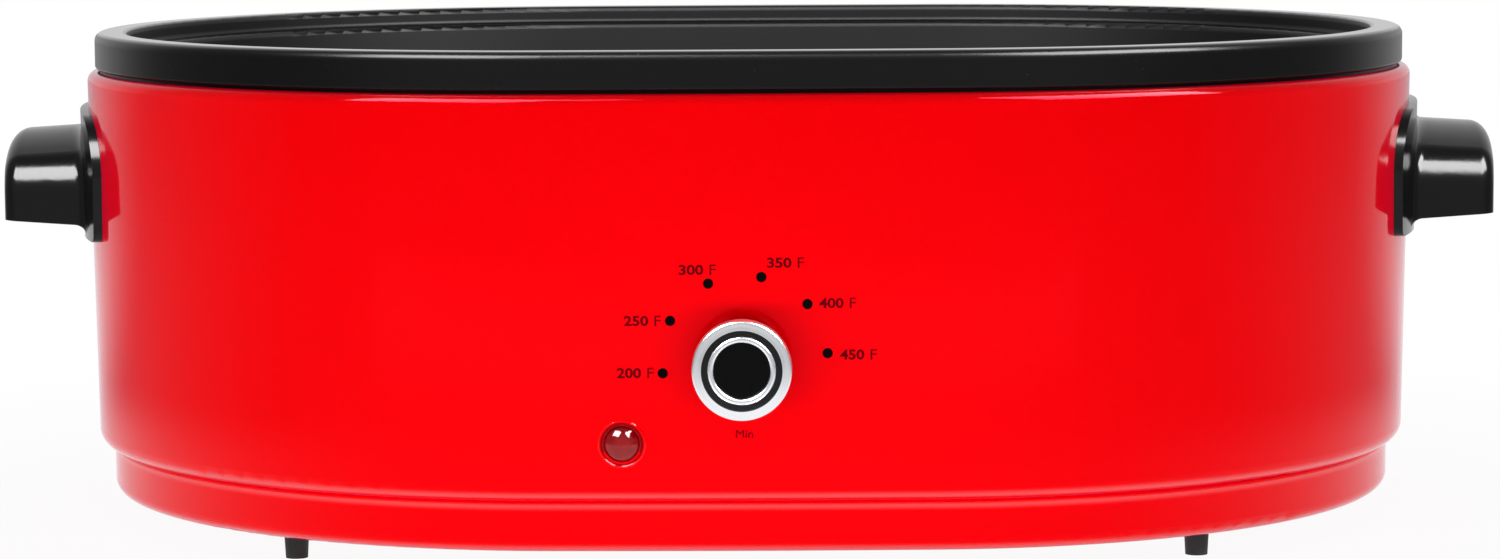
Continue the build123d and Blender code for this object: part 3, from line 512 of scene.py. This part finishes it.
class ROASTER_OT_insulation(bpy.types.Operator):
    """Finish the glass wool, the mica band and the insulated leads"""

    bl_idname = "roaster.insulation"
    bl_label = "Insulation and Leads"

    def execute(self, context):
        coat(glass_wool(), "insulation_blanket")
        coat(mica_board(), "heater_band")
        coat(lead_insulation("black_lead", "1b1b1c"), "lead_live", "lead_load")
        coat(lead_insulation("white_lead", "dcdbd4"), "lead_neutral", "pilot_leads")
        coat(lead_insulation("green_lead", "1c7a36"), "lead_earth")
        return {"FINISHED"}


# ---- the wall, and pieces on it

# Corners of a new piece nearer than this are welded into one.
WELD = 0.001 * MM


def wall_finder():
    """Tree of the shell's faces in which a ray finds the wall."""
    return BVHTree.FromObject(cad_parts["outer_shell"], bpy.context.evaluated_depsgraph_get())


def touch_wall(wall, x, y, z):
    """The point where a ray that starts ahead of a place meets the wall."""
    spot = wall.ray_cast(Vector((x, y - AHEAD, z)), TO_THE_BACK)[0]
    if spot is None:
        raise RuntimeError("the wall is missing behind x %.4f, z %.4f" % (x, z))
    return spot


def build_piece(name, corners, faces, material):
    """A mesh piece of one material, with its faces turned outward."""
    mesh = bpy.data.meshes.new(name)
    mesh.from_pydata(corners, [], faces)
    mesh.materials.append(material)
    shape = bmesh.new()
    shape.from_mesh(mesh)
    bmesh.ops.remove_doubles(shape, verts=shape.verts, dist=WELD)
    bmesh.ops.recalc_face_normals(shape, faces=shape.faces)
    shape.to_mesh(mesh)
    shape.free()
    piece = bpy.data.objects.new(name, mesh)
    bpy.context.scene.collection.objects.link(piece)
    return piece


# ---- lamp

# Radii of the lamp's dished ring and its rise off the wall, in millimetres.
LAMP_RING = {"inner": 6.75, "dish": 7.2, "crest": 8.1, "outer": 8.65, "back": -0.3, "inner_rise": 0.75,
             "rise": 1.4, "land": 0.15}
# Corners round the ring, and the angle from which an edge of it is sharp.
RING_STEPS = 96
RING_SHARP = radians(15)
# How far to each side of the lamp the wall's direction is felt.
BESIDE_LAMP = 13 * MM
# How much of the wall's red is left in the painted shade down in the ring's dish, and the tint of the ring's
# reflections.
DISH_PAINTED_SHADE = 0.16
RING_GLINT = (1.0, 0.3, 0.35, 1.0)


def moulded_red(tone, centre):
    # Polished red acetate of the lamp's surround: the wall's red at its crest and painted shade down in
    # the dish, a deep red that stands in for the little light that gets in, with a reddish gloss.
    material, tree, place = new_material("moulded_red")
    radius = vector(tree, "LENGTH", {0: around_point(tree, place, centre)}).outputs["Value"]
    # Painted shade: from the dish out to the crest the red goes from dark to full.
    outward = ramp(tree, radius, 0.0, 1.0, start=LAMP_RING["dish"] * MM, end=LAMP_RING["crest"] * MM)
    polish = noise(tree, place, 4 * MM)
    return principled(material, {
        "Base Color": mix(tree, outward, scaled(tone, DISH_PAINTED_SHADE, 1.0, 1.0), tone),
        "Roughness": ramp(tree, polish, 0.07, 0.1), "IOR": 1.5, "Specular Tint": RING_GLINT})


def wall_spot(node):
    """Middle of a round node on the front wall, and the direction that the wall faces there."""
    low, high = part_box(node)
    middle = Vector([(a + b) / 2 for a, b in zip(low, high)])
    wall = wall_finder()
    right, left, above, below = [
        touch_wall(wall, middle.x + dx, low[1], middle.z + dz)
        for dx, dz in ((BESIDE_LAMP, 0), (-BESIDE_LAMP, 0), (0, BESIDE_LAMP), (0, -BESIDE_LAMP))]
    return (above + below) / 2, (right - left).cross(above - below).normalized()


class ROASTER_OT_lamp_ring(bpy.types.Operator):
    """Set the dished ring around the pilot lamp on the wall"""

    bl_idname = "roaster.lamp_ring"
    bl_label = "Lamp Ring"

    def execute(self, context):
        place, face = wall_spot("pilot_lens")
        lean = face.to_track_quat("Z", "Y").to_matrix()
        size = {name: value * MM for name, value in LAMP_RING.items()}
        shoulder = size["crest"] + size["land"]
        profile = [(size["inner"], size["back"]), (size["inner"], size["inner_rise"]),
                   (size["dish"], size["inner_rise"]), (size["crest"], size["rise"]),
                   (shoulder, size["rise"]), (size["outer"], size["rise"] - size["outer"] + shoulder),
                   (size["outer"], size["back"])]
        count = len(profile)
        corners, faces = [], []
        for step in range(RING_STEPS):
            angle = 2 * pi * step / RING_STEPS
            corners += [place + lean @ Vector((radius * cos(angle), radius * sin(angle), rise))
                        for radius, rise in profile]
            here, there = step * count, (step + 1) % RING_STEPS * count
            for i in range(count):
                j = (i + 1) % count
                faces.append((here + i, there + i, there + j, here + j))
        red = moulded_red(tuple(context.scene.roaster_finishes.red_enamel), place)
        ring = build_piece("lamp_ring", corners, faces, red)
        ring.data.shade_smooth()
        ring.data.set_sharp_from_angle(angle=RING_SHARP)
        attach(ring, "body")
        return {"FINISHED"}


# ---- dial print

def screen_ink(name, tone):
    # Screen-printed enamel ink: an opaque colour that sits on the gloss with a duller, even face and
    # slightly ragged cover.
    material, tree, place = new_material(name)
    cover = noise(tree, place, 0.6 * MM)
    pale = tuple(min(1.0, c * 1.5) for c in tone[:3]) + (1.0,)
    return principled(material, {
        "Base Color": mix(tree, cover, tone, pale), "Roughness": 0.5, "IOR": 1.5,
        "Specular IOR Level": 0.02})


def dot_tree():
    """Nodes that lay equal round dots on a circle and press them onto a wall along +Y."""
    tree = bpy.data.node_groups.new("dial_dots", "GeometryNodeTree")
    face = tree.interface
    face.new_socket("Geometry", in_out="OUTPUT", socket_type="NodeSocketGeometry")
    for name, kind in (("Wall", "Object"), ("Ink", "Material"), ("Dots", "Int"), ("Centre", "Vector"),
                       ("Circle Radius", "Float"), ("First Angle", "Float"), ("Angle Step", "Float"),
                       ("Dot Diameter", "Float"), ("Thickness", "Float")):
        face.new_socket(name, in_out="INPUT", socket_type="NodeSocket" + kind)
    given = add(tree, "NodeGroupInput").outputs
    number = add(tree, "GeometryNodeInputIndex").outputs[0]
    angle = reckon(tree, "MULTIPLY_ADD", number, given["Angle Step"], given["First Angle"])
    on_circle = add(tree, "ShaderNodeCombineXYZ", {
        "X": reckon(tree, "COSINE", angle), "Z": reckon(tree, "SINE", angle)}).outputs[0]
    spread = vector(tree, "SCALE", {0: on_circle, "Scale": given["Circle Radius"]}).outputs[0]
    ahead = vector(tree, "ADD", {0: spread, 1: given["Centre"]}).outputs[0]
    wall = add(tree, "GeometryNodeObjectInfo", {"Object": given["Wall"]}).outputs["Geometry"]
    touch = add(tree, "GeometryNodeRaycast", {
        "Target Geometry": wall, "Source Position": ahead, "Ray Direction": TO_THE_BACK,
        "Ray Length": 1.0})
    points = add(tree, "GeometryNodeMeshLine", {"Count": given["Dots"]}).outputs[0]
    placed = add(tree, "GeometryNodeSetPosition", {
        "Geometry": points, "Position": touch.outputs["Hit Position"]}).outputs[0]
    disc = add(tree, "GeometryNodeMeshCylinder", {
        "Vertices": 32, "Radius": reckon(tree, "MULTIPLY", given["Dot Diameter"], 0.5),
        "Depth": reckon(tree, "MULTIPLY", given["Thickness"], 2.0)})
    facing = add(tree, "FunctionNodeAlignRotationToVector", {"Vector": touch.outputs["Hit Normal"]},
                 axis="Z").outputs[0]
    dots = add(tree, "GeometryNodeInstanceOnPoints", {
        "Points": placed, "Instance": disc.outputs["Mesh"], "Rotation": facing}).outputs[0]
    solid = add(tree, "GeometryNodeRealizeInstances", {"Geometry": dots}).outputs[0]
    inked = add(tree, "GeometryNodeSetMaterial", {"Geometry": solid, "Material": given["Ink"]}).outputs[0]
    add(tree, "NodeGroupOutput", {"Geometry": inked})
    return tree


def grow(name, tree, inputs):
    """Run a geometry tree with named inputs and keep what it makes as a plain mesh object."""
    seed = bpy.data.objects.new(name, bpy.data.meshes.new(name))
    bpy.context.scene.collection.objects.link(seed)
    modifier = seed.modifiers.new(name, "NODES")
    modifier.node_group = tree
    sockets = {item.name: item.identifier for item in tree.interface.items_tree
               if item.item_type == "SOCKET" and item.in_out == "INPUT"}
    for label, value in inputs.items():
        modifier[sockets[label]] = value
    seed.update_tag()
    bpy.context.view_layer.update()
    evaluated = seed.evaluated_get(bpy.context.evaluated_depsgraph_get())
    made = bpy.data.meshes.new_from_object(evaluated)
    seed.modifiers.remove(modifier)
    seed.data = made
    made.name = name
    if not made.polygons:
        raise RuntimeError(name + " came out empty")
    return seed


class ROASTER_OT_dial_dots(bpy.types.Operator):
    """Print the heat marks on the wall around the knob"""

    bl_idname = "roaster.dial_dots"
    bl_label = "Heat Marks"

    def execute(self, context):
        dial = context.scene.roaster_dial
        ink = screen_ink("mark_ink", tuple(context.scene.roaster_finishes.mark_ink))
        centre = (KNOB_CENTRE[0] + dial.circle_right, KNOB_BOX[0][1] - AHEAD,
                  KNOB_CENTRE[2] + dial.circle_up)
        dots = grow("dial_dots", dot_tree(), {
            "Wall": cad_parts["outer_shell"], "Ink": ink, "Dots": dial.dots, "Centre": centre,
            "Circle Radius": dial.circle_radius, "First Angle": dial.first_angle,
            "Angle Step": dial.angle_step, "Dot Diameter": dial.dot_diameter,
            "Thickness": dial.ink_thickness})
        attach(dots, "body")
        return {"FINISHED"}


# Left edge and lower edge of each number and of the word, in millimetres from the knob's axis.
NUMBER_PLACES = {"200": (-44.8, -5.1), "250": (-42.1, 13.6), "300": (-22.4, 31.8), "350": (8.9, 34.2),
                 "400": (27.3, 19.7), "450": (34.6, 1.2)}
MIN_PLACE = (-2.5, -26.6)
# Width and height of the word, in millimetres.
MIN_SIZE = (6.1, 2.7)
# How much bolder than the plain letters the numbers are, in parts of their size.
NUMBER_WEIGHT = 0.028


def lettering(words, weight, left, low, width, height, thickness):
    """Mesh corners and faces of words that fill a rectangle in X and Z, with their depth in Y."""
    curve = bpy.data.curves.new("words", "FONT")
    curve.body = words
    curve.offset = weight
    curve.extrude = 0.01
    curve.resolution_u = 3
    drawn = bpy.data.objects.new("words", curve)
    bpy.context.scene.collection.objects.link(drawn)
    bpy.context.view_layer.update()
    mesh = bpy.data.meshes.new_from_object(drawn.evaluated_get(bpy.context.evaluated_depsgraph_get()))
    corners = [v.co.copy() for v in mesh.vertices]
    faces = [tuple(p.vertices) for p in mesh.polygons]
    bpy.data.objects.remove(drawn)
    bpy.data.curves.remove(curve)
    bpy.data.meshes.remove(mesh)
    start = [min(c[i] for c in corners) for i in range(2)]
    span = [max(c[i] for c in corners) - start[i] for i in range(2)]
    placed = []
    for corner in corners:
        across = left + (corner.x - start[0]) / span[0] * width
        up = low + (corner.y - start[1]) / span[1] * height
        placed.append(Vector((across, thickness if corner.z > 0 else -thickness, up)))
    return placed, faces


class ROASTER_OT_dial_figures(bpy.types.Operator):
    """Print the heat numbers and the word at the low end of the dial"""

    bl_idname = "roaster.dial_figures"
    bl_label = "Heat Numbers"

    def execute(self, context):
        dial = context.scene.roaster_dial
        ink = screen_ink("figure_ink", tuple(context.scene.roaster_finishes.figure_ink))
        words = []
        for number, (left, low) in NUMBER_PLACES.items():
            words.append((number, NUMBER_WEIGHT, left * MM, low * MM, dial.figure_width,
                          dial.figure_height))
            words.append(("F", 0.0, left * MM + dial.letter_start, low * MM, dial.letter_width,
                          dial.figure_height))
        words.append(("Min", 0.0, *(value * MM for value in (*MIN_PLACE, *MIN_SIZE))))
        wall = wall_finder()
        corners, faces = [], []
        for word in words:
            placed, joined = lettering(*word, dial.ink_thickness)
            faces += [tuple(len(corners) + i for i in face) for face in joined]
            for corner in placed:
                spot = touch_wall(wall, KNOB_CENTRE[0] + corner.x, KNOB_BOX[0][1], KNOB_CENTRE[2] + corner.z)
                corners.append(spot - Vector((0, corner.y, 0)))
        figures = build_piece("dial_figures", corners, faces, ink)
        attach(figures, "body")
        return {"FINISHED"}


# ---- studio

# Each lamp's name, its place, the point it looks at, its width and height, the setting of its
# brightness, and what it is for: it shows only in the object's gloss, or only gives light.
LAMPS = (
    ("left_softbox", (-0.66, -0.87, 1.24), (0, 0, 0.1), (0.9, 0.8), "box_level", "gloss"),
    ("right_softbox", (0.9, -0.7, 1.18), (0, 0, 0.1), (1.1, 0.8), "box_level", "gloss"),
    ("overhead_panel", (0, -0.2, 2.2), (0, 0, 0), (2.4, 1.6), "top_level", "light"),
    ("front_panel", (-0.03, -0.6, 0.012), (0, -0.19, 0.12), (1.0, 0.06), "front_level", "light"),
    ("back_panel", (0, 0.95, 0.1), (0, 0.2, 0.12), (1.6, 0.5), "fill_level", "light"),
    ("left_panel", (-1.0, -0.1, 0.1), (0, 0, 0.12), (0.8, 0.4), "fill_level", "light"),
    ("right_panel", (1.0, -0.1, 0.1), (0, 0, 0.12), (0.8, 0.4), "fill_level", "light"),
)
WHITE = (1.0, 1.0, 1.0, 1.0)
# Brightness in gloss of the room in front of the object, beside it and behind it.
ROOM_FRONT = 0.65
ROOM_SIDE = 0.3
ROOM_BACK = 0.95
# How much of that brightness the room above the floor has.
ROOM_SHARE = 0.8
# Corners of the floor's disc.
FLOOR_STEPS = 96
# Where the camera stands, and how it is turned to the right, down and about its own axis.
CAMERA_PLACE = (0.02348, -1.72228, 0.27175)
CAMERA_YAW = radians(-0.77)
CAMERA_PITCH = radians(6.06)
CAMERA_ROLL = radians(0.35)


def room_glow(tree, toward_back):
    """Brightness of the room in gloss, from how far a direction points to the back (-1 to 1)."""
    front = ramp(tree, toward_back, ROOM_FRONT, ROOM_SIDE, start=-0.9, end=-0.4, smooth=True)
    return ramp(tree, toward_back, front, ROOM_BACK, start=0.3, end=0.8, smooth=True)


def ray_kinds(tree):
    """Whether a ray comes from the camera, and whether it comes from gloss or through glass."""
    path = add(tree, "ShaderNodeLightPath").outputs
    return path["Is Camera Ray"], reckon(tree, "MAXIMUM", path["Is Glossy Ray"], path["Is Transmission Ray"])


def studio_floor(tone):
    # A matt white table that keeps a light shadow of the object and is plain white further off. In
    # gloss it is white near the object and takes the room's brightness further out.
    material, tree, place = new_material("studio_floor")
    camera, gloss = ray_kinds(tree)
    direct = reckon(tree, "MAXIMUM", gloss, camera)
    shade = mix(tree, noise(tree, place, 50 * MM), tone, scaled(tone, 0.99, 0.99, 0.99))
    table = add(tree, "ShaderNodeBsdfDiffuse", {"Color": shade})
    away = vector(tree, "LENGTH", {0: place}).outputs["Value"]
    seen = reckon(tree, "MULTIPLY", ramp(tree, away, 0.94, 1.0, start=0.3, end=0.6, smooth=True), direct)
    room = room_glow(tree, reckon(tree, "DIVIDE", split(tree, place)["Y"], away))
    near = ramp(tree, away, 1.0, room, start=0.35, end=0.6, smooth=True)
    distant = ramp(tree, away, 1.0, 0.6, start=0.8, end=2.0, smooth=True)
    glow = reckon(tree, "MULTIPLY", near, distant)
    level = add(tree, "ShaderNodeMix", {"Factor": gloss, "A": 1.0, "B": glow}).outputs["Result"]
    white = add(tree, "ShaderNodeEmission", {"Strength": level})
    return close_material(material, add(tree, "ShaderNodeMixShader", {
        0: seen, 1: table.outputs[0], 2: white.outputs[0]}))


def light_room(level):
    """Even light from all round; in gloss, a room that is white behind the object and dimmer beside it."""
    world = bpy.data.worlds.new("studio")
    world.use_nodes = True
    tree = world.node_tree
    tree.nodes.clear()
    camera, gloss = ray_kinds(tree)
    direct = reckon(tree, "MAXIMUM", gloss, camera)
    way = split(tree, add(tree, "ShaderNodeTexCoord").outputs["Generated"])
    dimmed = reckon(tree, "MULTIPLY", room_glow(tree, way["Y"]), ROOM_SHARE)
    shown = reckon(tree, "MAXIMUM", dimmed, camera)
    light = add(tree, "ShaderNodeBackground", {"Color": WHITE, "Strength": level})
    backdrop = add(tree, "ShaderNodeBackground", {"Color": WHITE, "Strength": shown})
    mixed = add(tree, "ShaderNodeMixShader", {0: direct, 1: light.outputs[0], 2: backdrop.outputs[0]})
    add(tree, "ShaderNodeOutputWorld", {"Surface": mixed.outputs[0]})
    bpy.context.scene.world = world


def hang_lamp(name, place, target, size, level, use):
    """A soft rectangular lamp of a given brightness that looks at a point."""
    width, height = size
    lamp = bpy.data.lights.new(name, "AREA")
    lamp.shape = "RECTANGLE"
    lamp.size = width
    lamp.size_y = height
    lamp.energy = level * width * height * pi
    box = bpy.data.objects.new(name, lamp)
    box.location = place
    box.rotation_euler = (Vector(target) - Vector(place)).to_track_quat("-Z", "Y").to_euler()
    box.visible_camera = False
    box.visible_diffuse = use == "light"
    box.visible_glossy = use == "gloss"
    bpy.context.scene.collection.objects.link(box)


def aim_camera(lens):
    """Look slightly down at the front from 1.7 m, as fitted to the object's outlines."""
    view = Vector((0, cos(CAMERA_PITCH), -sin(CAMERA_PITCH)))
    up = Vector((0, sin(CAMERA_PITCH), cos(CAMERA_PITCH)))
    right = Vector((1, 0, 0))
    across = right * cos(CAMERA_ROLL) - up * sin(CAMERA_ROLL)
    over = right * sin(CAMERA_ROLL) + up * cos(CAMERA_ROLL)
    sideways = Matrix.Rotation(-CAMERA_YAW, 3, "Z")
    axes = Matrix([sideways @ across, sideways @ over, -(sideways @ view)]).transposed().to_4x4()
    camera = bpy.data.cameras.new("camera")
    camera.sensor_width = 36.0
    camera.lens = lens
    camera.clip_end = 50.0
    holder = bpy.data.objects.new("camera", camera)
    holder.matrix_world = Matrix.Translation(CAMERA_PLACE) @ axes
    bpy.context.scene.collection.objects.link(holder)
    bpy.context.scene.camera = holder


class ROASTER_OT_studio(bpy.types.Operator):
    """Set up the floor, the lamps and the camera"""

    bl_idname = "roaster.studio"
    bl_label = "Studio"

    def execute(self, context):
        studio = context.scene.roaster_studio
        mesh = bpy.data.meshes.new("floor")
        disc = bmesh.new()
        bmesh.ops.create_circle(disc, cap_ends=True, segments=FLOOR_STEPS, radius=studio.floor_radius)
        disc.to_mesh(mesh)
        disc.free()
        mesh.materials.append(studio_floor(tuple(studio.floor_tone)))
        floor = bpy.data.objects.new("floor", mesh)
        context.scene.collection.objects.link(floor)
        light_room(studio.room_level)
        for name, place, target, size, setting, use in LAMPS:
            hang_lamp(name, place, target, size, getattr(studio, setting), use)
        aim_camera(studio.lens)
        context.scene.view_settings.view_transform = "Standard"
        return {"FINISHED"}


STEPS = (ROASTER_OT_enamels, ROASTER_OT_metals, ROASTER_OT_mouldings, ROASTER_OT_insulation,
         ROASTER_OT_lamp_ring, ROASTER_OT_dial_dots, ROASTER_OT_dial_figures, ROASTER_OT_studio)


class ROASTER_PT_sidebar(bpy.types.Panel):
    """Sizes, colours and steps of the roaster oven"""

    bl_label = "Roaster Oven"
    bl_idname = "ROASTER_PT_sidebar"
    bl_space_type = "VIEW_3D"
    bl_region_type = "UI"
    bl_category = "Roaster"

    def draw(self, context):
        for group in PROPERTY_GROUPS:
            box = self.layout.box()
            settings = getattr(context.scene, group)
            for name in settings.__annotations__:
                box.prop(settings, name)
        for step in STEPS:
            self.layout.operator(step.bl_idname)


CLASSES = (*PROPERTY_GROUPS.values(), *STEPS, ROASTER_PT_sidebar)


def register():
    for kind in CLASSES:
        bpy.utils.register_class(kind)
    for name, kind in PROPERTY_GROUPS.items():
        setattr(bpy.types.Scene, name, PointerProperty(type=kind))


def unregister():
    for name in PROPERTY_GROUPS:
        delattr(bpy.types.Scene, name)
    for kind in reversed(CLASSES):
        bpy.utils.unregister_class(kind)


def main():
    register()
    for step in STEPS:
        group, name = step.bl_idname.split(".")
        getattr(getattr(bpy.ops, group), name)()


if __name__ == "__main__":
    main()
